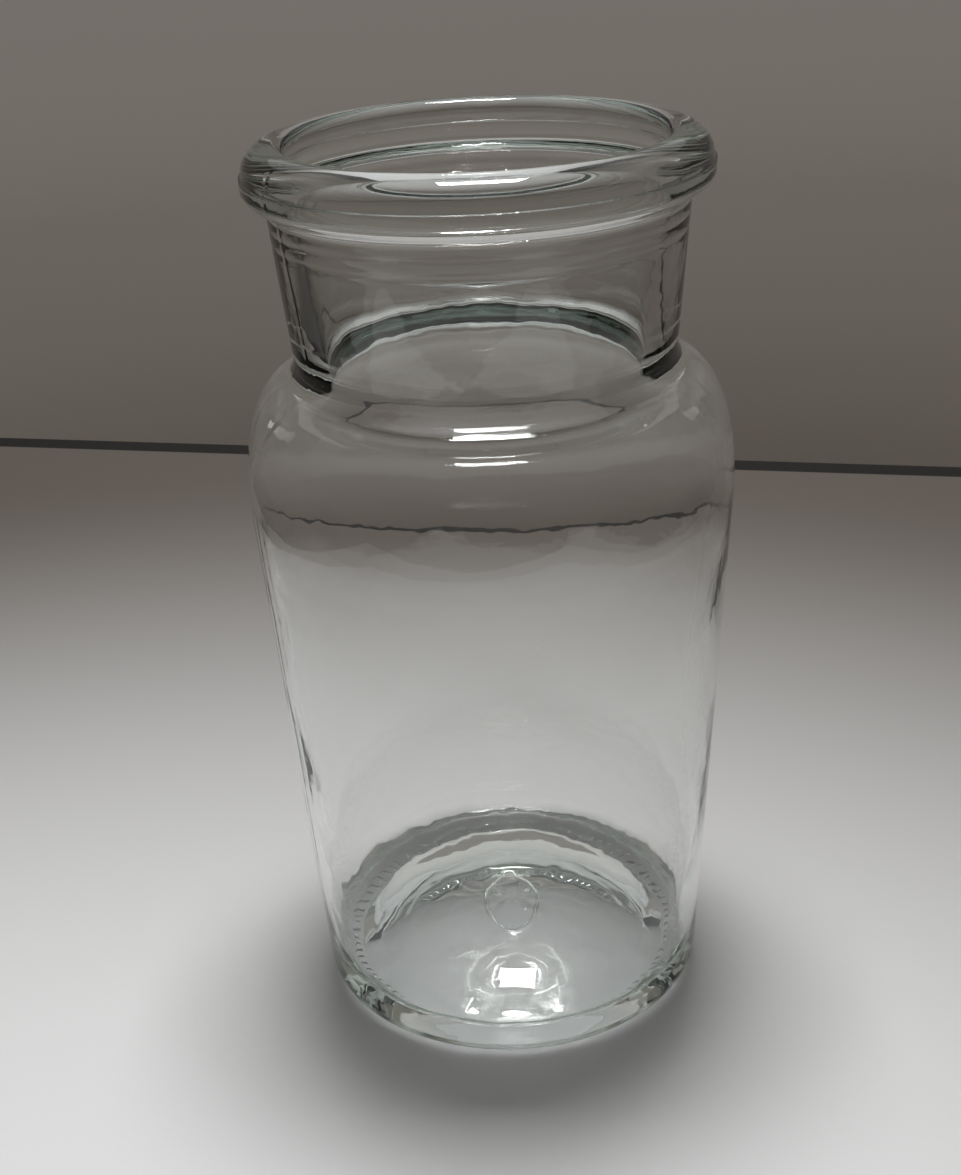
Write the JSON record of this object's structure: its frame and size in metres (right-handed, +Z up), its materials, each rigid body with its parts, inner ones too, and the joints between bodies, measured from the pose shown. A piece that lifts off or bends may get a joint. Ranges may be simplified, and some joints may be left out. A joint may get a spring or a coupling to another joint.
{
  "type": "glass jar",
  "caption": "Clear glass storage jar with a thick rolled rim, thick tapered neck, rounded shoulder and tapered body on a pushed-up base.",
  "frame": {"origin": "centre of the flat ring that the jar stands on", "axes": "+Z up the axis of the jar, out of its mouth; X and Y are alike, because the jar is turned"},
  "size_m": [0.0962, 0.0962, 0.18],
  "materials": {
    "clear_glass": "fire-polished clear soda-lime glass"
  },
  "bodies": {
    "root": {"glass_jar": "clear_glass"}
  },
  "joints": []
}
